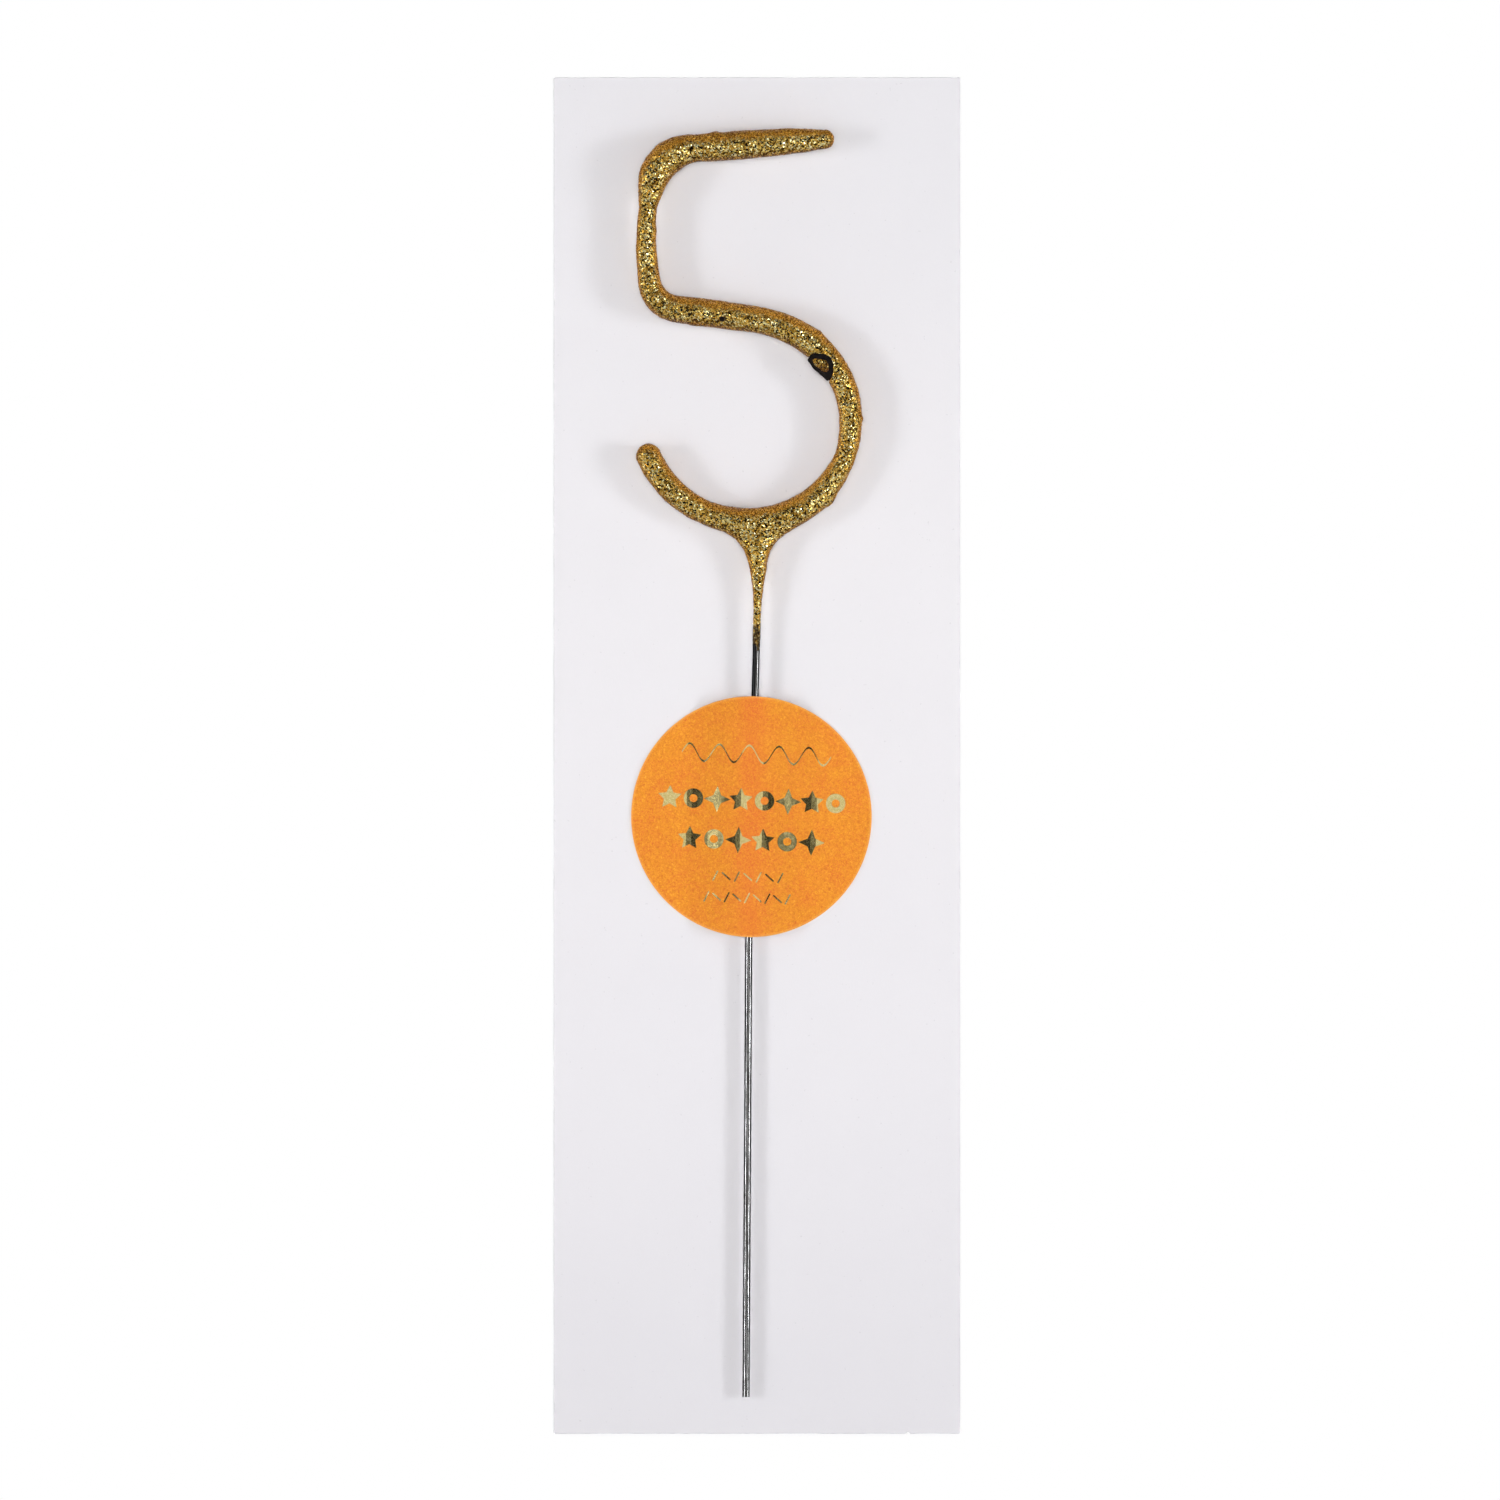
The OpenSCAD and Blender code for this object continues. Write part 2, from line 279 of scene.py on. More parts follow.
# A BACK value is the place on y, from the wire's middle, behind which a defect isn't carved.
# Where the lacquer has broken away on the inner side of the bowl, and the flake left in it.
BREAK = [
    (6.5, 153.15), (6.95, 153.9), (7.9, 154.1), (9.0, 153.95), (9.95, 153.5), (10.3, 152.5),
    (10.25, 151.4), (10.05, 150.6), (9.55, 149.95), (9.0, 150.5), (8.45, 150.98), (7.6, 151.6),
    (6.85, 152.4),
]
BREAK_DEPTH = 0.5
BREAK_BACK = 0.7
FLAKE = [
    (7.15, 153.1), (7.5, 153.4), (8.38, 153.32), (9.2, 153.15), (9.6, 152.5), (9.7, 151.7),
    (9.4, 151.35), (8.9, 151.4), (8.25, 151.85), (7.45, 152.4),
]
FLAKE_LIFT = 0.05
FLAKE_HALF_T = 0.15

# The lump that the break has pushed out. It is core, with the flake of the coat on top.
LUMP_MIDDLE = (8.4, -1.05, 152.2)
LUMP_R = 2.4
LUMP_HALF_D = 0.85
LUMP_CLEAR = 0.03

# Pits in the coat as x, z, radius and depth, each on the front of the numeral.
PITS = [
    (-6.28, 158.77, 0.44, 0.5), (13.84, 139.22, 0.2, 0.2), (6.74, 134.1, 0.22, 0.2),
    (-1.2, 159.2, 0.16, 0.15), (9.6, 145.9, 0.15, 0.12), (-13.1, 168.4, 0.15, 0.12),
]

# Chip on the outer side of the bowl, which ends in a straight edge through CHIP_EDGE.
CHIP = [(10.1, 130.8), (10.4, 131.9), (10.8, 132.6), (12.7, 132.7), (12.7, 130.8), (11.2, 130.1)]
CHIP_DEPTH = 0.7
CHIP_BACK = 0.3
CHIP_EDGE = (11.45, 131.6)
CHIP_EDGE_FACES = (0.727, -0.687)
CHIP_EDGE_HALF = 0.95
CHIP_EDGE_REACH = 2
CHIP_EDGE_BACK = 0.8

# Beads of lacquer that stand a little proud, as x, z, radius and height.
BEADS = [
    (-8.0, 186.2, 0.7, 0.22), (8.5, 157.6, 0.6, 0.2), (15.1, 144.7, 0.5, 0.2),
    (-14.8, 183.2, 1.2, 0.1), (2.6, 187.0, 1.5, 0.08), (-16.6, 171.5, 1.0, 0.1),
    (-3.2, 127.4, 1.1, 0.1), (13.9, 138.0, 1.0, 0.1), (11.2, 131.6, 1.3, 0.6),
]

# Edges of the defects are ragged, and the core is carved a little less deep than the coat.
RAGGED_SIZE = 0.5
RAGGED_HEIGHT = 0.09
FLAKE_RAGGED = 0.7
CHIP_RAGGED = 0.6
CORE_LESS = 0.07


def along(x, z, heading, curve, d):
    """The place at a distance along an arc, or along a straight line where the curve is 0."""
    if curve == 0:
        return x + d * math.cos(heading), z + d * math.sin(heading)
    end = heading + curve * d
    return (
        x + (math.sin(end) - math.sin(heading)) / curve,
        z - (math.cos(end) - math.cos(heading)) / curve,
    )


def numeral_path():
    """Points along the numeral's wire, as x, z and the distance from its tip."""
    x, z, heading = NUMERAL_START
    heading = math.radians(heading)
    rows, done = [], 0.0
    for length, radius, bend in NUMERAL:
        curve = 0.0
        if radius is not None:
            length = radius * abs(math.radians(bend))
            curve = math.copysign(1 / radius, bend)
        n = math.ceil(length / PATH_PITCH)
        for k in range(n):
            d = length * k / n
            rows.append((*along(x, z, heading, curve, d), done + d))
        x, z = along(x, z, heading, curve, length)
        heading += curve * length
        done += length
    rows.append((x, z, done))
    return np.array(rows)


def coat_radius(run):
    """Radius of the dipped tube at a distance along its wire."""
    coat = np.array(COAT_D)
    return np.interp(run, coat[:, 0], coat[:, 1]) / 2


def outline_distance(x, z, corners):
    """Distance to a closed outline in the numeral's plane, negative inside it."""
    best = np.full(x.shape, 1e9)
    inside = np.zeros(x.shape, bool)
    for (ax, az), (bx, bz) in zip(corners, corners[1:] + corners[:1]):
        t = ((x - ax) * (bx - ax) + (z - az) * (bz - az)) / ((bx - ax) ** 2 + (bz - az) ** 2)
        t = np.clip(t, 0, 1)
        best = np.minimum(best, np.hypot(x - ax - t * (bx - ax), z - az - t * (bz - az)))
        crosses = ((az > z) != (bz > z)) & (x < (bx - ax) * (z - az) / (bz - az + 1e-12) + ax)
        inside ^= crosses
    return np.where(inside, -best, best)


# The fields below are numbers on a grid: negative inside a shape, positive outside it, and near
# its surface the distance to it. gx and gz are the grid's places in the numeral's plane, and y is
# its places from front to back, shaped so that it spreads over them.


def tube_field(gx, gz, y, path):
    """The dipped tube round the numeral's wire, with its beads."""
    flat = np.stack([gx.ravel(), gz.ravel()], axis=1)
    near = np.empty(len(flat))
    run = np.empty(len(flat))
    for start in range(0, len(flat), BATCH):
        part = flat[start:start + BATCH]
        gap = ((part[:, None, :] - path[None, :, :2]) ** 2).sum(2)
        nearest = gap.argmin(1)
        near[start:start + BATCH] = np.sqrt(gap[np.arange(len(part)), nearest])
        run[start:start + BATCH] = path[nearest, 2]
    swell = np.zeros(gx.shape)
    for bx, bz, r, height in BEADS:
        swell += height * np.exp(-((gx - bx) ** 2 + (gz - bz) ** 2) / (r * r))
    radius = coat_radius(run.reshape(gx.shape)) + swell
    return np.hypot(near.reshape(gx.shape)[:, None, :], y) - radius[:, None, :]


def web_field(gx, z, y):
    """The web that runs down from the numeral into the stem."""
    root = np.array(ROOT_HALF_W)
    drop = WELD_Z - z
    half_w = np.interp(drop, root[:, 0], root[:, 1])
    half_d = np.minimum(half_w, ROOT_DEPTH)
    centre = ROOT_SHIFT * np.maximum(0, 1 - (np.clip(drop, 0, None) / ROOT_SHIFT_END) ** 2)
    across = (gx - centre[None, :])[:, None, :] / half_w
    deep = y / half_d
    reach = np.sqrt(across ** 2 + deep ** 2) + 1e-9
    slope = np.sqrt((across / half_w) ** 2 + (deep / half_d) ** 2) + 1e-9
    web = (reach - 1) * reach / slope
    ends = np.maximum(drop - root[-1, 0], root[0, 0] - drop)
    return np.maximum(web, ends[None, None, :])


def blended(a, b, width):
    """Two fields joined, with a fillet about as wide as stated between them."""
    h = np.clip(0.5 + 0.5 * (b - a) / width, 0, 1)
    return b * (1 - h) + a * h - width * h * (1 - h)


def recess(edge, coat, depth, less, y, back):
    """A hole inside an edge, of even depth below the coat's surface, on the front only."""
    return np.maximum(np.maximum(edge + less, -(coat + depth - less)), y - back)


def flat_ball(gx, gz, y, middle, r, half_d):
    """Distance from the surface of a ball flattened from front to back, in shares of its radius."""
    x, front, z = middle
    around = ((gx - x) ** 2 + (gz - z) ** 2)[:, None, :] / r ** 2
    return np.sqrt(around + (y - front) ** 2 / half_d ** 2) - 1


def chip_edge_field(gx, gz, y, less):
    """What the chip's straight edge cuts off."""
    face_x, face_z = CHIP_EDGE_FACES
    off_x, off_z = gx - CHIP_EDGE[0], gz - CHIP_EDGE[1]
    beyond = off_x * face_x + off_z * face_z
    sideways = np.abs(off_z * face_x - off_x * face_z)
    cut = np.maximum(less - beyond, sideways + less - CHIP_EDGE_HALF)
    cut = np.maximum(cut, beyond - CHIP_EDGE_REACH)
    return np.maximum(cut[:, None, :], y - CHIP_EDGE_BACK)


def pit_field(gx, gz, y, path, pit, less):
    """A pit in the front of the tube."""
    px, pz, r, depth = pit
    nearest = ((path[:, :2] - np.array((px, pz))) ** 2).sum(1).argmin()
    off = math.hypot(path[nearest, 0] - px, path[nearest, 1] - pz)
    front = -math.sqrt(max(coat_radius(path[nearest, 2]) ** 2 - off ** 2, 0.01))
    return flat_ball(gx, gz, y, (px, front, pz), r - less, depth - less) * (r - less)


def numeral_field(step, inset):
    """The numeral's field, less an inset, with and without defects, and the grid's low corner."""
    path = numeral_path()
    web_end = WELD_Z - ROOT_HALF_W[-1][0]
    low = np.array([path[:, 0].min() - GRID_MARGIN, -GRID_MARGIN, web_end - 0.5])
    high = np.array([path[:, 0].max() + GRID_MARGIN, GRID_MARGIN, path[:, 1].max() + GRID_MARGIN])
    size = np.ceil((high - low) / step).astype(int) + 1
    x, y, z = (low[k] + step * np.arange(size[k]) for k in range(3))
    gx, gz = np.meshgrid(x, z, indexing="ij")
    y = y[None, :, None]

    whole = blended(tube_field(gx, gz, y, path), web_field(gx, z, y), ROOT_BLEND) + inset
    coat = whole - inset
    less = CORE_LESS if inset else 0.0
    ragged = noise(np.stack([gx.ravel(), gz.ravel() * 0, gz.ravel()], axis=1), RAGGED_SIZE, 3)
    ragged = ragged.reshape(gx.shape) * RAGGED_HEIGHT

    broken = (outline_distance(gx, gz, BREAK) + ragged)[:, None, :]
    field = np.maximum(whole, -recess(broken, coat, BREAK_DEPTH, less, y, BREAK_BACK))

    lump = flat_ball(gx, gz, y, LUMP_MIDDLE, LUMP_R, LUMP_HALF_D) * LUMP_HALF_D
    if inset:
        field = np.minimum(field, np.maximum(lump, broken + LUMP_CLEAR))
    else:
        flake = (outline_distance(gx, gz, FLAKE) + ragged * FLAKE_RAGGED)[:, None, :]
        shell = np.maximum(np.abs(lump - FLAKE_LIFT) - FLAKE_HALF_T, y - LUMP_MIDDLE[1])
        field = np.minimum(field, np.maximum(flake, shell))

    chipped = (outline_distance(gx, gz, CHIP) + ragged * CHIP_RAGGED)[:, None, :]
    chip = recess(chipped, coat, CHIP_DEPTH, less, y, CHIP_BACK)
    chip = np.minimum(chip, chip_edge_field(gx, gz, y, less))
    field = np.maximum(field, -chip)

    for pit in PITS:
        reaches_core = pit[3] >= SKIN + less
        if reaches_core or not inset:
            field = np.maximum(field, -pit_field(gx, gz, y, path, pit, less))
    return field, whole, low


def sampled(grid, low, step, points):
    """The grid's values at points between its own."""
    q = np.clip((points - low) / step, 0, np.array(grid.shape) - 1.001)
    i = np.floor(q).astype(int)
    t = q - i
    total = np.zeros(len(points))
    for corner in itertools.product((0, 1), repeat=3):
        c = np.array(corner)
        weight = np.prod(np.where(c, t, 1 - t), axis=1)
        total += weight * grid[tuple((i + c).T)]
    return total


def skin_points(step, inset, seed, lumps):
    """The numeral's surface with lumps, its even normals, and how deep each point is carved."""
    field, whole, low = numeral_field(step, inset)
    points, quads = surface_net(field, low, step)
    normals = point_normals(points, quads)
    deep = -sampled(whole, low, step, points)
    lift = np.zeros(len(points))
    for size, height in lumps:
        seed += 11
        lift += noise(points, size, seed) * height
    points = points + normals * lift[:, None]
    return points, quads, normals, deep


def kept_behind(points, limit, room):
    """Points in metres, pressed back so that none comes further forward than the limit."""
    over = limit + room - points[:, 1]
    pressed = limit + room * np.exp(-np.maximum(over, 0) / room)
    points[:, 1] = np.where(over > 0, pressed, points[:, 1])
    return points


COAT_STEP = 0.14
COAT_LUMPS = [(3.5, 0.05), (1.3, 0.035), (0.6, 0.02)]
CORE_STEP = 0.22
CORE_LUMPS = [(0.8, 0.02), (0.4, 0.02)]
CRUST_SIZE = 0.36
CRUST_HEIGHT = 0.04
PRESS_ROOM = 0.12 * MM

points, quads, normals, deep = skin_points(COAT_STEP, 0.0, 100, COAT_LUMPS)
crust = grains(points, CRUST_SIZE, 40)
in_flake = (outline_distance(points[:, 0], points[:, 2], FLAKE) < 0.14) & (points[:, 1] < -0.9)
# Painted shade: the lacquer is painted browner on the sides, where the tube turns away from the front, and
# over a wide strip on the upper sides.
turned = np.sqrt(np.clip(1 - normals[:, 1] ** 2, 0, 1))
upward = normals[:, 2] / np.maximum(turned, 0.05)
painted_side_shade = turned - (0.77 - 0.35 * np.maximum(upward, 0) + 0.06 * np.maximum(-upward, 0))
# Dark core shows where the coat is carved, and the flake is burnt towards its lower end.
bare = np.where(in_flake, 0, smooth_step(deep, 0.03, 0.12))
burnt = np.where(in_flake, smooth_step(152.9 - points[:, 2], -0.5, 1.6), 0)
# Painted shade on the tube's undersides, where it turns down and away from the front.
under = np.maximum(-upward, 0) * smooth_step(turned, 0.3, 0.75)
points = points + normals * (crust * CRUST_HEIGHT * (1 - 0.6 * bare))[:, None]
gold_place = kept_behind(placed(points, ABOVE_BEND), cad_box[0][1], PRESS_ROOM)
gold = add_mesh("gold_coat_skin", gold_place, quads.tolist(), "candle",
                hides=["gold_coat"])
add_value(gold, "painted_side_shade", painted_side_shade)
add_value(gold, "burnt", burnt)
add_value(gold, "bare", bare)
add_value(gold, "under", under)

core_points, core_quads, _, _ = skin_points(CORE_STEP, SKIN + 0.02, 300, CORE_LUMPS)
core = add_mesh("sparkler_core_crust", placed(core_points, ABOVE_BEND), core_quads.tolist(),
                "candle", hides=["sparkler_core"])


# ---- the lacquer film on the wire below the web -----------------------------------------------

FILM_OVERLAP = 1.2
FILM_ROWS = 110
FILM_SIDES = 40
FILM_SINK = 0.012
FILM_T = 0.045


def lacquer_film():
    """The film's points and faces, how well it covers the wire, and how bare it leaves it."""
    web_end = WELD_Z - ROOT_HALF_W[-1][0]
    low = web_end - FILM_LEN
    heights = np.linspace(low, web_end + FILM_OVERLAP, FILM_ROWS)
    angles = np.linspace(0, 2 * math.pi, FILM_SIDES, endpoint=False)
    height, angle = np.meshgrid(heights, angles, indexing="ij")
    x, y, z = np.cos(angle).ravel(), np.sin(angle).ravel(), height.ravel()
    # the noise is drawn out along the wire, and the cover fades towards the lower end
    wrap = np.stack([x * WIRE_R, y * WIRE_R, z * 0.55], axis=1)
    cover = noise(wrap, 0.45, 71) * 0.6 + noise(wrap, 0.2, 72) * 0.4
    cover = cover + (z - low - 1.6) / 2.2
    # where the cover fails, the film dips into the wire
    r = WIRE_R - FILM_SINK + FILM_T * smooth_step(cover, -0.15, 0.25)
    r = r + FILM_SINK * grains(np.stack([wrap[:, 0], wrap[:, 1], z], axis=1), 0.25, 9)
    faces = ring_faces(FILM_ROWS, FILM_SIDES)
    faces.append(list(range(FILM_SIDES))[::-1])
    faces.append([(FILM_ROWS - 1) * FILM_SIDES + k for k in range(FILM_SIDES)])
    bare = 0.92 * (1 - smooth_step(cover + 0.9 * noise(wrap, 0.16, 73), 0.4, 1.7))
    return np.stack([x * r, y * r, z], axis=1), faces, cover, bare


film_points, film_faces, film_cover, film_bare = lacquer_film()
film = add_mesh("lacquer_film", placed(film_points, ABOVE_BEND), film_faces, "candle")
# The film gets little of the painted side shade.
add_value(film, "painted_side_shade", np.full(len(film_points), -0.3))
add_value(film, "burnt", 0.35 * (1 - smooth_step(film_cover, 0.6, 2.6)))
add_value(film, "bare", film_bare)


# ---- the card ----------------------------------------------------------------------------

# Radius of each worn corner from the lower left one round, and a nick in the lower edge.
CARD_WEAR = (0.35, 0.3, 0.25, 0.3)
NICK_X = 23.9
NICK = [(-0.35, 0), (-0.05, 0.3), (0.15, 0.22), (0.4, 0)]
# Each ring is the outline drawn in by an amount, at a depth: a pressed edge, front and back.
CARD_RINGS = [
    (0.12, 0.0), (0.03, 0.02), (0.0, 0.08), (0.02, CARD_T / 2), (0.0, CARD_T - 0.08),
    (0.03, CARD_T - 0.02), (0.12, CARD_T),
]


def card_outline():
    """The card's outline, from its lower left corner."""
    right, top = CARD_LEFT + CARD_W, CARD_BOTTOM + CARD_H
    corners = [
        (CARD_LEFT, CARD_BOTTOM, 180), (right, CARD_BOTTOM, 270), (right, top, 0),
        (CARD_LEFT, top, 90),
    ]
    outline = []
    for (cx, cz, start), r in zip(corners, CARD_WEAR):
        in_x = cx + (r if cx < 0 else -r)
        in_z = cz + (r if cz < 0 else -r)
        for k in range(5):
            a = math.radians(start + 22.5 * k)
            outline.append((in_x + r * math.cos(a), in_z + r * math.sin(a)))
        if start == 180:
            outline += [(NICK_X + dx, CARD_BOTTOM + dz) for dx, dz in NICK]
    return np.array(outline)


def card_sheet():
    """The card's rings of points, joined and closed by its front and its back."""
    outline = card_outline()
    n = len(outline)
    half = np.array([CARD_W / 2, CARD_H / 2])
    middle = np.array([CARD_LEFT + CARD_W / 2, CARD_BOTTOM + CARD_H / 2])
    points = []
    for draw, depth in CARD_RINGS:
        ring = middle + (outline - middle) * ((half - draw) / half)
        points += [(x, depth, z) for x, z in ring]
    faces = ring_faces(len(CARD_RINGS), n)
    faces.append(list(range(n)))
    faces.append([(len(CARD_RINGS) - 1) * n + k for k in range(n)][::-1])
    return np.array(points), faces


card_points, card_faces = card_sheet()
card = add_mesh("card_board_sheet", placed(card_points, ON_CARD), card_faces, "pack",
                smooth=False, hides=["backing_card"])


# ---- the label ----------------------------------------------------------------------------

LABEL_COLS = 150
LABEL_ROWS = 110
WAVES = [(6.5, 0.035, 21), (2.4, 0.014, 22)]
CREST_FADE = 2.1


def tent(x):
    """Height of the label over its glued sides: a smooth ridge along the wire."""
    a = np.clip(np.abs(x), CREST_HALF_W, TENT_HALF_W)
    return TENT_H / 2 * (1 + np.cos(math.pi * (a - CREST_HALF_W) / (TENT_HALF_W - CREST_HALF_W)))


def waver(x, z):
    """How far the paper stands off its even tent: more on the raised part than where it is glued."""
    p = np.stack([x, x * 0, z], axis=1)
    free = 0.2 + 0.8 * smooth_step(TENT_HALF_W - np.abs(x), -0.5, 3)
    return free * sum(noise(p, size, seed) * height for size, height, seed in WAVES)


def label_sheet():
    """A grid over the round label, front and back, with its rim closed."""
    angles = np.linspace(0, math.pi, LABEL_COLS)
    shares = np.linspace(-1, 1, LABEL_ROWS)
    angle, share = np.meshgrid(angles, shares, indexing="ij")
    half_chord = LABEL_R * np.sqrt(1 - np.cos(angle) ** 2 + 1e-6)
    x = (-LABEL_R * np.cos(angle)).ravel()
    z = (half_chord * np.sin(share * math.pi / 2)).ravel()
    lift = GLUE_T + tent(x) + waver(x, z)
    points = np.concatenate([
        np.stack([x, -(lift + LABEL_T), z], axis=1),
        np.stack([x, -lift, z], axis=1),
    ])
    behind = LABEL_COLS * LABEL_ROWS
    faces = []
    for i in range(LABEL_COLS - 1):
        for k in range(LABEL_ROWS - 1):
            a = i * LABEL_ROWS + k
            quad = [a, a + LABEL_ROWS, a + LABEL_ROWS + 1, a + 1]
            faces.append(quad)
            faces.append([q + behind for q in quad[::-1]])
    edge = (
        [i * LABEL_ROWS for i in range(LABEL_COLS)]
        + [(LABEL_COLS - 1) * LABEL_ROWS + k for k in range(1, LABEL_ROWS)]
        + [i * LABEL_ROWS + LABEL_ROWS - 1 for i in range(LABEL_COLS - 2, -1, -1)]
        + [k for k in range(LABEL_ROWS - 2, 0, -1)]
    )
    for a, b in zip(edge, edge[1:] + edge[:1]):
        faces.append([b, a, a + behind, b + behind])
    return points, faces


label_points, label_faces = label_sheet()
label = add_mesh("label_sheet", placed(label_points, ON_LABEL), label_faces, "pack",
                 hides=["label"])
rim_share = np.hypot(label_points[:, 0], label_points[:, 2]) / LABEL_R
add_value(label, "rim", smooth_step(rim_share, 0.975, 1.0))
# How near each point is to the crest, where painted shade makes the paper redder.
add_value(label, "crest_shade", np.exp(-(label_points[:, 0] / CREST_FADE) ** 2))

# The foil follows the paper.
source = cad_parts["foil_print"].data
places = np.zeros(len(source.vertices) * 3, np.float32)
source.vertices.foreach_get("co", places)
to_label = np.array(ON_LABEL.inverted())
foil_points = places.reshape(-1, 3) / MM @ to_label[:3, :3].T + to_label[:3, 3]
foil_points[:, 1] -= waver(foil_points[:, 0], foil_points[:, 2])
foil_faces = [list(f.vertices) for f in source.polygons]
foil = add_mesh("foil_ornament", placed(foil_points, ON_LABEL), foil_faces, "pack",
                hides=["foil_print"])


# ---- materials ---------------------------------------------------------------------------


class Look:
    """A material, and short ways to add nodes to it."""

    def __init__(self, name):
        self.material = bpy.data.materials.new(name)
        self.material.use_nodes = True
        self.tree = self.material.node_tree
        self.shader = self.tree.nodes["Principled BSDF"]
        place = self.node("ShaderNodeTexCoord")
        scale = self.node("ShaderNodeVectorMath", operation="SCALE")
        self.link(place.outputs["Object"], scale.inputs[0])
        scale.inputs["Scale"].default_value = 1 / MM
        self.mm = scale.outputs[0]
        self.normal = place.outputs["Normal"]

    def node(self, kind, **settings):
        node = self.tree.nodes.new(kind)
        for key, value in settings.items():
            setattr(node, key, value)
        return node

    def link(self, source, target):
        self.tree.links.new(source, target)

    def put(self, target, value):
        if isinstance(value, bpy.types.NodeSocket):
            self.link(value, target)
        else:
            target.default_value = value

    def set(self, **values):
        """Sets or links the shader's own sockets; an underscore stands for a space."""
        for key, value in values.items():
            self.put(self.shader.inputs[key.replace("_", " ")], value)

    def stretch(self, x, y, z):
        node = self.node("ShaderNodeVectorMath", operation="MULTIPLY")
        self.link(self.mm, node.inputs[0])
        node.inputs[1].default_value = (x, y, z)
        return node.outputs[0]

    def noise(self, size, detail=2.0, rough=0.5, vector=None, distortion=0.0):
        node = self.node("ShaderNodeTexNoise")
        self.link(vector or self.mm, node.inputs["Vector"])
        node.inputs["Scale"].default_value = 1 / size
        node.inputs["Detail"].default_value = detail
        node.inputs["Roughness"].default_value = rough
        node.inputs["Distortion"].default_value = distortion
        return node.outputs["Fac"]

    def jittered(self, size, amount):
        """The place in millimetres, pushed about by noise, so that cells lose their even edges."""
        moved = self.node("ShaderNodeVectorMath", operation="ADD")
        self.link(self.mm, moved.inputs[0])
        push = self.node("ShaderNodeTexNoise")
        self.link(self.mm, push.inputs["Vector"])
        push.inputs["Scale"].default_value = 1 / size
        scaled = self.node("ShaderNodeVectorMath", operation="SCALE")
        self.link(push.outputs["Color"], scaled.inputs[0])
        scaled.inputs["Scale"].default_value = amount
        self.link(scaled.outputs[0], moved.inputs[1])
        return moved.outputs[0]

    def cells(self, size, vector=None):
        """One random colour for each cell."""
        node = self.node("ShaderNodeTexVoronoi")
        self.link(vector or self.mm, node.inputs["Vector"])
        node.inputs["Scale"].default_value = 1 / size
        return node.outputs["Color"]

    def part_of(self, vector, axis):
        node = self.node("ShaderNodeSeparateXYZ")
        self.link(vector, node.inputs[0])
        return node.outputs[axis]

    def channel(self, color, which):
        node = self.node("ShaderNodeSeparateColor")
        self.link(color, node.inputs[0])
        return node.outputs[which]

    def value(self, name):
        """The number that add_value left at each vertex."""
        return self.node("ShaderNodeAttribute", attribute_name=name).outputs["Fac"]

    def math(self, operation, a, b=0.0, clamp=False):
        node = self.node("ShaderNodeMath", operation=operation, use_clamp=clamp)
        self.put(node.inputs[0], a)
        self.put(node.inputs[1], b)
        return node.outputs[0]

    def range(self, value, low, high, to_low=0.0, to_high=1.0):
        node = self.node("ShaderNodeMapRange")
        self.link(value, node.inputs["Value"])
        limits = {"From Min": low, "From Max": high, "To Min": to_low, "To Max": to_high}
        for key, number in limits.items():
            node.inputs[key].default_value = number
        return node.outputs[0]

    def ramp(self, value, stops, interpolation="LINEAR"):
        node = self.node("ShaderNodeValToRGB")
        node.color_ramp.interpolation = interpolation
        elements = node.color_ramp.elements
        while len(elements) < len(stops):
            elements.new(0.5)
        for element, (at, color) in zip(elements, stops):
            element.position = at
            element.color = (*color, 1)
        self.link(value, node.inputs[0])
        return node.outputs["Color"]

    def mix(self, share, a, b, blend="MIX"):
        node = self.node("ShaderNodeMix", data_type="RGBA", blend_type=blend)
        self.put(node.inputs[0], share)
        for socket, value in ((node.inputs[6], a), (node.inputs[7], b)):
            self.put(socket, value if isinstance(value, bpy.types.NodeSocket) else (*value, 1))
        return node.outputs[2]

    def bump(self, height, distance, strength=1.0):
        node = self.node("ShaderNodeBump")
        node.inputs["Strength"].default_value = strength
        node.inputs["Distance"].default_value = distance * MM
        self.link(height, node.inputs["Height"])
        return node.outputs[0]

    def tilted(self, pairs):
        """The surface normal, leaned in each flake by its own random amount."""
        total = self.node("ShaderNodeNewGeometry").outputs["Normal"]
        for color, amount in pairs:
            centred = self.node("ShaderNodeVectorMath", operation="SUBTRACT")
            self.link(color, centred.inputs[0])
            centred.inputs[1].default_value = (0.5, 0.5, 0.5)
            scaled = self.node("ShaderNodeVectorMath", operation="SCALE")
            self.link(centred.outputs[0], scaled.inputs[0])
            self.put(scaled.inputs["Scale"], amount)
            added = self.node("ShaderNodeVectorMath", operation="ADD")
            self.link(total, added.inputs[0])
            self.link(scaled.outputs[0], added.inputs[1])
            total = added.outputs[0]
        unit = self.node("ShaderNodeVectorMath", operation="NORMALIZE")
        self.link(total, unit.inputs[0])
        return unit.outputs[0]

    def onto(self, ob):
        ob.data.materials.clear()
        ob.data.materials.append(self.material)


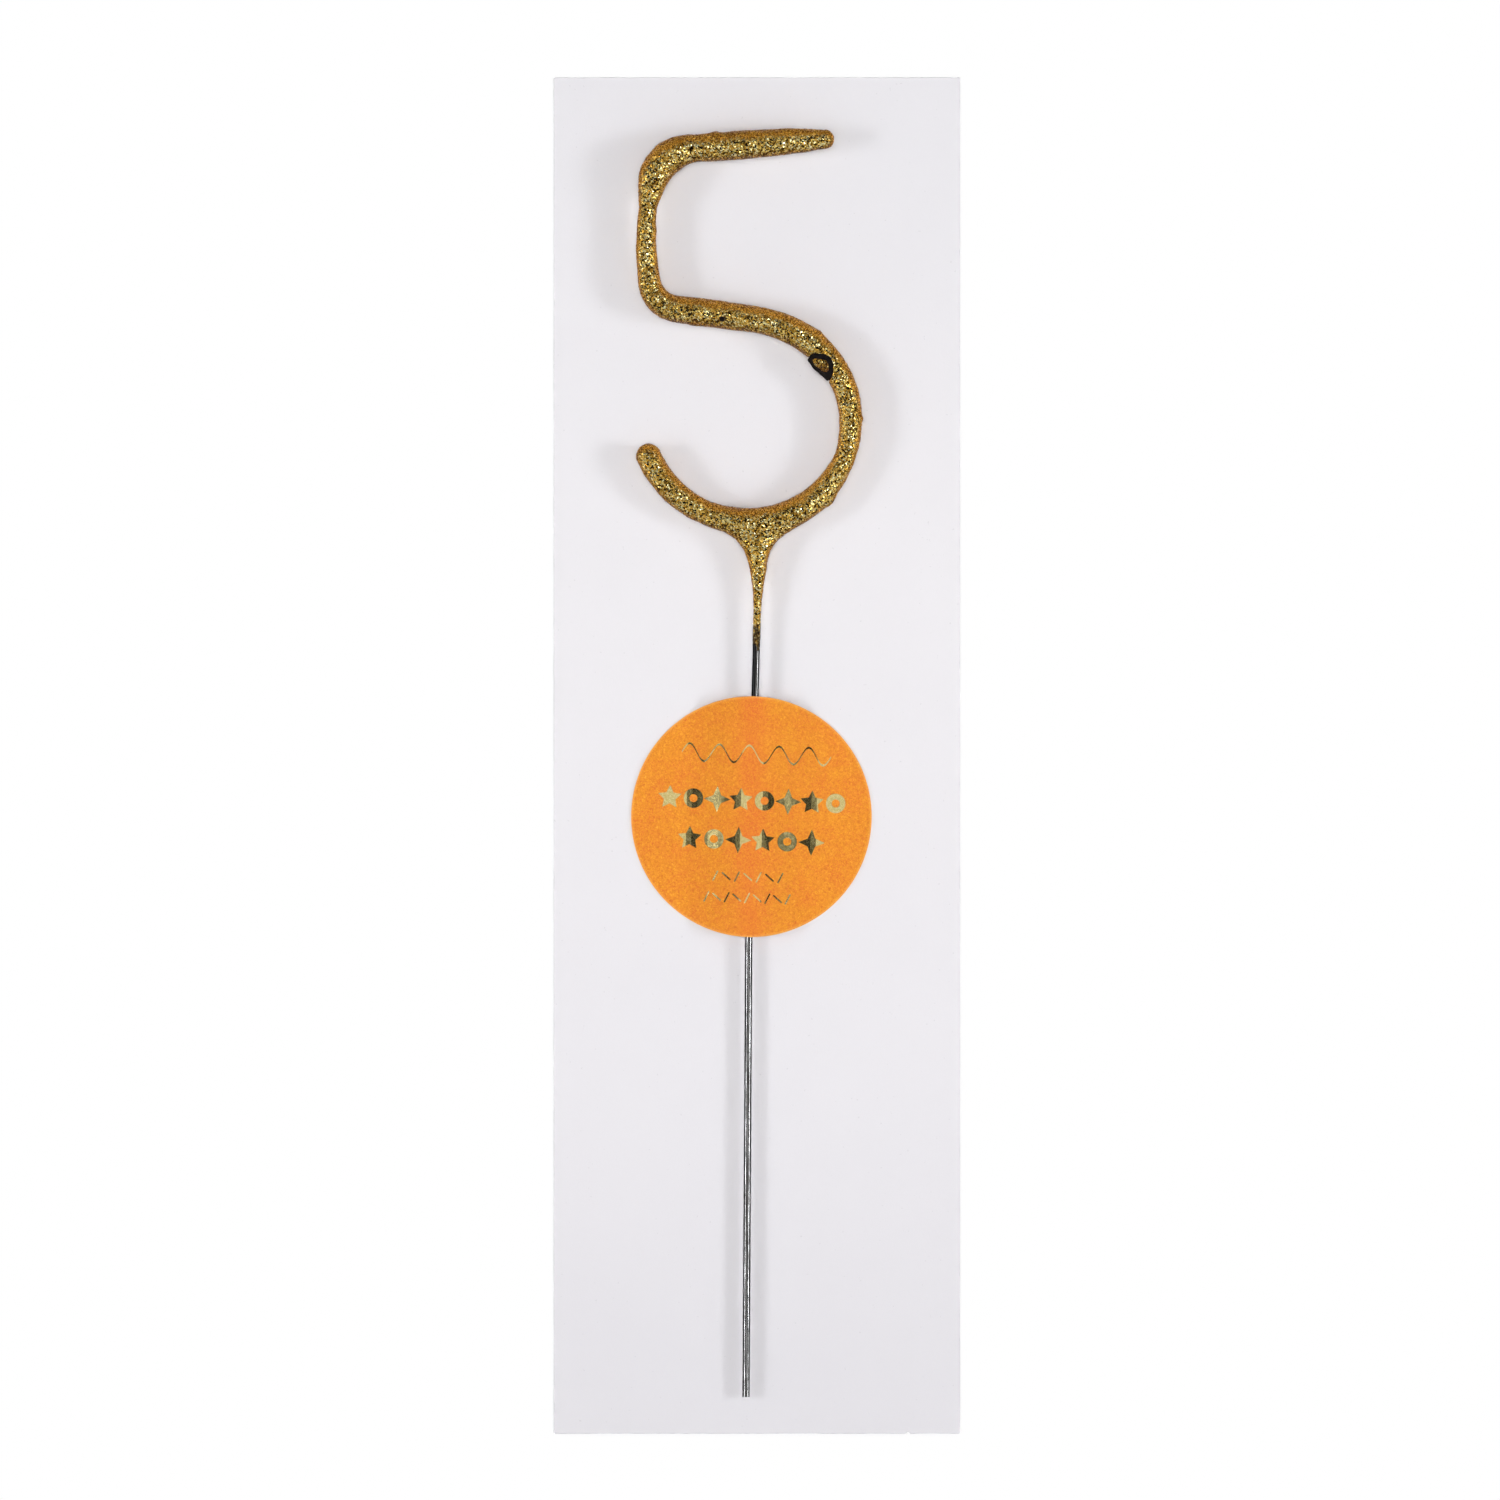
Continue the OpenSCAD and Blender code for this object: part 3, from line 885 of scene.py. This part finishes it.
def gold_glitter():
    k = Look("gold_glitter_lacquer")
    flakes = k.cells(0.2, k.jittered(0.35, 0.16))
    dust = k.cells(0.12)
    tone = k.channel(flakes, 0)
    fine_tone = k.channel(dust, 1)
    patch = k.noise(1.8, detail=3)
    blotch = k.math("MULTIPLY", k.math("SUBTRACT", patch, 0.5), 0.5)
    # The browner sides are painted shade, broken up by random blotches.
    side_shade_share = k.range(k.math("ADD", k.value("painted_side_shade"), blotch), -0.2, 0.12)
    burnt = k.value("burnt")
    bare = k.value("bare")
    bright = k.ramp(tone, [
        (0.0, (0.006, 0.003, 0.001)), (0.22, (0.012, 0.006, 0.002)), (0.3, (0.44, 0.22, 0.026)),
        (0.55, (0.86, 0.49, 0.075)), (0.76, (1.0, 0.74, 0.2)), (1.0, (1.0, 0.95, 0.56)),
    ])
    painted_side_shade = k.ramp(fine_tone, [
        (0.0, (0.03, 0.01, 0.002)), (0.28, (0.25, 0.085, 0.009)), (0.65, (0.62, 0.27, 0.028)),
        (1.0, (0.95, 0.54, 0.09)),
    ])
    color = k.mix(side_shade_share, bright, painted_side_shade)
    # Painted shade on the undersides, weaker on the brighter flakes.
    shade = k.math("MULTIPLY", k.value("under"), k.range(tone, 0.35, 0.75, 0.9, 0.15))
    color = k.mix(shade, color, (0.05, 0.023, 0.006))
    burnt_color = k.mix(fine_tone, (0.03, 0.008, 0.004), (0.3, 0.09, 0.03))
    color = k.mix(k.math("MULTIPLY", burnt, 0.85), color, burnt_color)
    bare_color = k.mix(tone, (0.004, 0.003, 0.003), (0.03, 0.02, 0.014))
    color = k.mix(bare, color, bare_color)
    metal = k.math("MULTIPLY", k.range(side_shade_share, 0, 1, 0.95, 0.3), k.math("SUBTRACT", 1.0, bare))
    rough = k.range(fine_tone, 0, 1, 0.15, 0.42)
    k.set(
        Base_Color=color,
        Metallic=metal,
        Roughness=k.math("ADD", rough, k.math("MULTIPLY", bare, 0.45), clamp=True),
        Normal=k.tilted([(flakes, k.range(side_shade_share, 0, 1, 0.9, 0.45)), (dust, 0.4)]),
    )
    k.shader.inputs["Specular Tint"].default_value = (0.5, 0.3, 0.14, 1)
    k.shader.inputs["Specular IOR Level"].default_value = 0.3
    return k


def sparkler_composition():
    k = Look("sparkler_composition")
    coarse = k.noise(0.35, detail=4, rough=0.65)
    color = k.ramp(coarse, [
        (0.3, (0.004, 0.003, 0.003)), (0.6, (0.012, 0.009, 0.008)), (0.8, (0.045, 0.026, 0.016)),
    ])
    k.set(
        Base_Color=color, Roughness=k.range(coarse, 0.3, 0.8, 1.0, 0.85), Specular_IOR_Level=0.12,
        Normal=k.bump(coarse, 0.08),
    )
    return k


def drawn_steel():
    k = Look("drawn_steel")
    lines = k.noise(1.0, detail=4, rough=0.7, vector=k.stretch(9, 9, 0.22))
    blotch = k.noise(1.0, detail=3, vector=k.stretch(2.5, 2.5, 0.8))
    color = k.ramp(lines, [
        (0.35, (0.03, 0.029, 0.028)), (0.47, (0.13, 0.127, 0.125)), (0.68, (0.42, 0.42, 0.42)),
    ])
    color = k.mix(k.range(blotch, 0.5, 0.7, 0, 0.7), color, (0.08, 0.075, 0.07))
    height = k.part_of(k.mm, "Z")
    upper = k.range(height, 96, 101)
    color = k.mix(k.math("MULTIPLY", upper, 0.4), color, (0.05, 0.045, 0.04))
    # painted dark reflection: above the label, the side of the wire that faces left is painted black
    painted_left_reflection = k.range(k.part_of(k.normal, "X"), -0.08, 0.12, 0.97, 0)
    color = k.mix(k.math("MULTIPLY", upper, painted_left_reflection), color, (0.005, 0.005, 0.005))
    # painted dark reflection along the two sides of the wire, broken up by blotches
    aside = k.math("ABSOLUTE", k.part_of(k.normal, "X"))
    painted_edge_reflection = k.math("ADD", aside, k.range(blotch, 0.3, 0.7, -0.08, 0.08))
    color = k.mix(k.range(painted_edge_reflection, 0.64, 0.8, 0, 0.97), color, (0.005, 0.005, 0.005))
    k.set(
        Base_Color=color, Metallic=1.0, Roughness=k.range(lines, 0.2, 0.8, 0.2, 0.08),
        Normal=k.bump(lines, 0.006),
    )
    k.shader.inputs["Specular Tint"].default_value = (0.05, 0.05, 0.05, 1)
    return k


def weld_metal():
    k = Look("weld_metal")
    scale = k.noise(0.3, detail=4)
    color = k.ramp(scale, [(0.3, (0.05, 0.05, 0.055)), (0.6, (0.17, 0.17, 0.18)), (0.8, (0.3, 0.22, 0.15))])
    k.set(
        Base_Color=color, Metallic=1.0, Roughness=k.range(scale, 0.3, 0.8, 0.7, 0.4),
        Normal=k.bump(scale, 0.05),
    )
    return k


def pale_floor():
    k = Look("pale_floor")
    grain = k.noise(6, detail=4)
    color = k.mix(grain, (0.9, 0.9, 0.9), (0.93, 0.93, 0.93))
    k.set(Base_Color=color, Roughness=k.range(grain, 0.3, 0.7, 0.7, 0.8))
    return k


def board():
    k = Look("white_board")
    fibre = k.noise(1.0, detail=5, rough=0.6, vector=k.stretch(4, 4, 1.6))
    cloud = k.noise(22, detail=2)
    speck = k.noise(0.5, detail=1)
    color = k.mix(cloud, (0.784, 0.766, 0.793), (0.804, 0.785, 0.809))
    # Painted light falloff: the card is painted darker towards its bottom and its top.
    height = k.range(k.part_of(k.mm, "Z"), CARD_BOTTOM, CARD_BOTTOM + CARD_H)
    shade = k.ramp(height, [
        (0.0, (0.925, 0.925, 0.935)), (0.3, (0.985, 0.985, 0.99)), (0.6, (1, 1, 1)),
        (1.0, (0.95, 0.955, 0.96)),
    ], "EASE")
    color = k.mix(1.0, color, shade, "MULTIPLY")
    color = k.mix(k.range(fibre, 0.35, 0.7, 0, 0.05), color, (0.7, 0.7, 0.72))
    color = k.mix(k.range(speck, 0.77, 0.8, 0, 0.25), color, (0.45, 0.44, 0.46))
    k.set(
        Base_Color=color, Roughness=k.range(fibre, 0.3, 0.7, 0.62, 0.75), Specular_IOR_Level=0.3,
        Normal=k.bump(fibre, 0.02, 0.5),
    )
    return k


def orange_paper():
    k = Look("orange_paper")
    fibres = k.noise(0.8, detail=3, rough=0.7, distortion=3)
    mottle = k.noise(0.32, detail=4, rough=0.75, distortion=0.8)
    cloud = k.noise(3.5, detail=2)
    crest_shade = k.value("crest_shade")
    rim = k.value("rim")
    color = k.ramp(mottle, [
        (0.32, (0.66, 0.17, 0.012)), (0.45, (0.78, 0.26, 0.016)), (0.58, (0.88, 0.36, 0.024)),
        (0.7, (0.93, 0.46, 0.045)),
    ])
    thread = k.math("ABSOLUTE", k.math("SUBTRACT", fibres, 0.5))
    fibre_red_and_crest_shade = k.math("MULTIPLY", k.range(thread, 0.07, 0.0), k.range(cloud, 0.38, 0.62, 0.5, 1.1))
    # Painted shade: the paper is painted redder along the crest over the wire, on top of its red fibres.
    fibre_red_and_crest_shade = k.math("ADD", fibre_red_and_crest_shade, k.math("MULTIPLY", crest_shade, 0.4), clamp=True)
    color = k.mix(k.math("MULTIPLY", fibre_red_and_crest_shade, 0.68), color, (0.75, 0.12, 0.03))
    color = k.mix(k.math("MULTIPLY", rim, 0.5), color, (0.96, 0.5, 0.12))
    k.set(
        Base_Color=color, Roughness=k.range(mottle, 0.3, 0.7, 0.72, 0.85), Specular_IOR_Level=0.25,
        Normal=k.bump(thread, 0.03, 0.6),
    )
    return k


def satin_foil():
    k = Look("satin_gold_foil")
    press = k.noise(0.35, detail=3)
    wear = k.noise(0.12, detail=2)
    color = k.ramp(press, [(0.3, (0.5, 0.4, 0.15)), (0.7, (0.62, 0.52, 0.24))])
    color = k.mix(k.range(wear, 0.7, 0.8, 0, 0.6), color, (0.7, 0.3, 0.06))
    k.set(
        Base_Color=color, Metallic=1.0, Roughness=k.range(press, 0.3, 0.7, 0.17, 0.24),
        Normal=k.bump(press, 0.004),
    )
    return k


def adhesive():
    k = Look("clear_adhesive")
    smear = k.noise(1.2, detail=3, distortion=1)
    color = k.ramp(smear, [(0.35, (0.72, 0.69, 0.58)), (0.65, (0.85, 0.83, 0.74))])
    k.set(
        Base_Color=color, Roughness=k.range(smear, 0.3, 0.7, 0.15, 0.4),
        Normal=k.bump(smear, 0.02),
    )
    return k


glitter = gold_glitter()
glitter.onto(gold)
glitter.onto(film)
sparkler_composition().onto(core)
steel = drawn_steel()
steel.onto(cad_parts["stem_wire"])
steel.onto(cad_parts["numeral_wire"])
weld_metal().onto(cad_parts["weld_nugget"])
board().onto(card)
orange_paper().onto(label)
satin_foil().onto(foil)
glue_look = adhesive()
glue_look.onto(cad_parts["glue_left"])
glue_look.onto(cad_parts["glue_right"])


# ---- floor, light and camera -----------------------------------------------------------------

# All in metres. The floor is low enough for the card's whole slide.
FLOOR_Z = -0.17
FLOOR_RINGS = [0.2, 0.5, 1.0, 1.6]
FLOOR_SIDES = 64
# The camera looks at TARGET from DISTANCE, and the picture is FRAME_WIDTH wide there.
TARGET = (0.000024, 0.0, 0.09543)
FRAME_WIDTH = 0.22124
DISTANCE = 2.2
SENSOR_WIDTH = 36


def round_floor():
    """A flat disc of rings round a middle point, facing up."""
    points = []
    for r in FLOOR_RINGS:
        for k in range(FLOOR_SIDES):
            a = 2 * math.pi * k / FLOOR_SIDES
            points.append((r * math.cos(a), r * math.sin(a), FLOOR_Z))
    points.append((0, 0, FLOOR_Z))
    faces = [face[::-1] for face in ring_faces(len(FLOOR_RINGS), FLOOR_SIDES)]
    for k in range(FLOOR_SIDES):
        faces.append([len(points) - 1, k, (k + 1) % FLOOR_SIDES])
    mesh = bpy.data.meshes.new("studio_floor")
    mesh.from_pydata(points, [], faces)
    ob = bpy.data.objects.new("studio_floor", mesh)
    bpy.context.scene.collection.objects.link(ob)
    return ob


floor = round_floor()
pale_floor().onto(floor)


def soft_light(name, azimuth, elevation, distance, width, height, power, color):
    """An area light round the object. Azimuth 0 is in front of it and 90 to its right."""
    a, e = math.radians(azimuth), math.radians(elevation)
    direction = Vector((math.sin(a) * math.cos(e), -math.cos(a) * math.cos(e), math.sin(e)))
    lamp = bpy.data.lights.new(name, "AREA")
    lamp.shape = "RECTANGLE"
    lamp.size, lamp.size_y = width, height
    lamp.energy = power
    lamp.color = color
    ob = bpy.data.objects.new(name, lamp)
    ob.location = [TARGET[k] + distance * direction[k] for k in range(3)]
    ob.rotation_mode = "QUATERNION"
    ob.rotation_quaternion = direction.to_track_quat("Z", "Y")
    ob.visible_camera = False
    bpy.context.scene.collection.objects.link(ob)


soft_light("key_left", -58, 0, 1.2, 0.22, 0.36, 4.2, (0.95, 0.97, 1))
soft_light("key_right", 61, 0, 1.2, 0.22, 0.36, 4.9, (0.95, 0.97, 1))
soft_light("front_fill", 0, 0, 1.5, 0.85, 0.6, 1.9, (1, 1, 1))
soft_light("back_soft", 190, 30, 1.5, 1.2, 1.0, 12, (1, 1, 1))

world = bpy.data.worlds.new("studio")
bpy.context.scene.world = world
world.use_nodes = True
tree = world.node_tree
tree.nodes.clear()


def world_node(kind, **settings):
    node = tree.nodes.new(kind)
    for key, value in settings.items():
        setattr(node, key, value)
    return node


def glow(color, strength=1.0):
    """Background light whose colour and strength are each a value or a socket."""
    node = world_node("ShaderNodeBackground")
    for socket, value in ((node.inputs["Color"], color), (node.inputs["Strength"], strength)):
        if isinstance(value, bpy.types.NodeSocket):
            tree.links.new(value, socket)
        else:
            socket.default_value = value
    return node.outputs[0]


rays = world_node("ShaderNodeLightPath")


def ray_mix(ray, otherwise, then):
    """One light for rays of a kind, such as Is Camera Ray, and another for the rest."""
    node = world_node("ShaderNodeMixShader")
    tree.links.new(rays.outputs[ray], node.inputs[0])
    tree.links.new(otherwise, node.inputs[1])
    tree.links.new(then, node.inputs[2])
    return node.outputs[0]


split = world_node("ShaderNodeSeparateXYZ")
tree.links.new(world_node("ShaderNodeTexCoord").outputs["Generated"], split.inputs[0])
dome = world_node("ShaderNodeValToRGB")
dome.color_ramp.elements[0].position = 0.1
dome.color_ramp.elements[0].color = (0.03, 0.03, 0.03, 1)
dome.color_ramp.elements[1].position = 0.75
dome.color_ramp.elements[1].color = (0.14, 0.14, 0.143, 1)
tree.links.new(split.outputs["Z"], dome.inputs[0])
# Soft light from the front, in a narrow lobe that matt surfaces take and shiny ones don't show.
LOBE_POWER = 120
LOBE_STRENGTH = 31
ahead = world_node("ShaderNodeMath", operation="MULTIPLY", use_clamp=True)
ahead.inputs[1].default_value = -1
tree.links.new(split.outputs["Y"], ahead.inputs[0])
lobe = world_node("ShaderNodeMath", operation="POWER")
lobe.inputs[1].default_value = LOBE_POWER
tree.links.new(ahead.outputs[0], lobe.inputs[0])
frontal = world_node("ShaderNodeMath", operation="MULTIPLY")
frontal.inputs[1].default_value = LOBE_STRENGTH
tree.links.new(lobe.outputs[0], frontal.inputs[0])
both = world_node("ShaderNodeAddShader")
tree.links.new(glow((1, 0.985, 0.965, 1), frontal.outputs[0]), both.inputs[0])
tree.links.new(glow(dome.outputs["Color"]), both.inputs[1])
matt = ray_mix("Is Diffuse Ray", glow(dome.outputs["Color"]), both.outputs[0])
seen = ray_mix("Is Camera Ray", matt, glow((1, 1, 1, 1)))
tree.links.new(seen, world_node("ShaderNodeOutputWorld").inputs["Surface"])

camera = bpy.data.cameras.new("camera")
camera.sensor_width = SENSOR_WIDTH
camera.lens = SENSOR_WIDTH * DISTANCE / FRAME_WIDTH
camera.clip_start, camera.clip_end = 0.05, 20
camera_object = bpy.data.objects.new("camera", camera)
camera_object.matrix_world = (
    shift(TARGET[0], TARGET[1] - DISTANCE, TARGET[2]) @ turn("Y", -STEM_LEAN) @ turn("X", 90)
)
bpy.context.scene.collection.objects.link(camera_object)
bpy.context.scene.camera = camera_object
bpy.context.scene.view_settings.view_transform = "Standard"
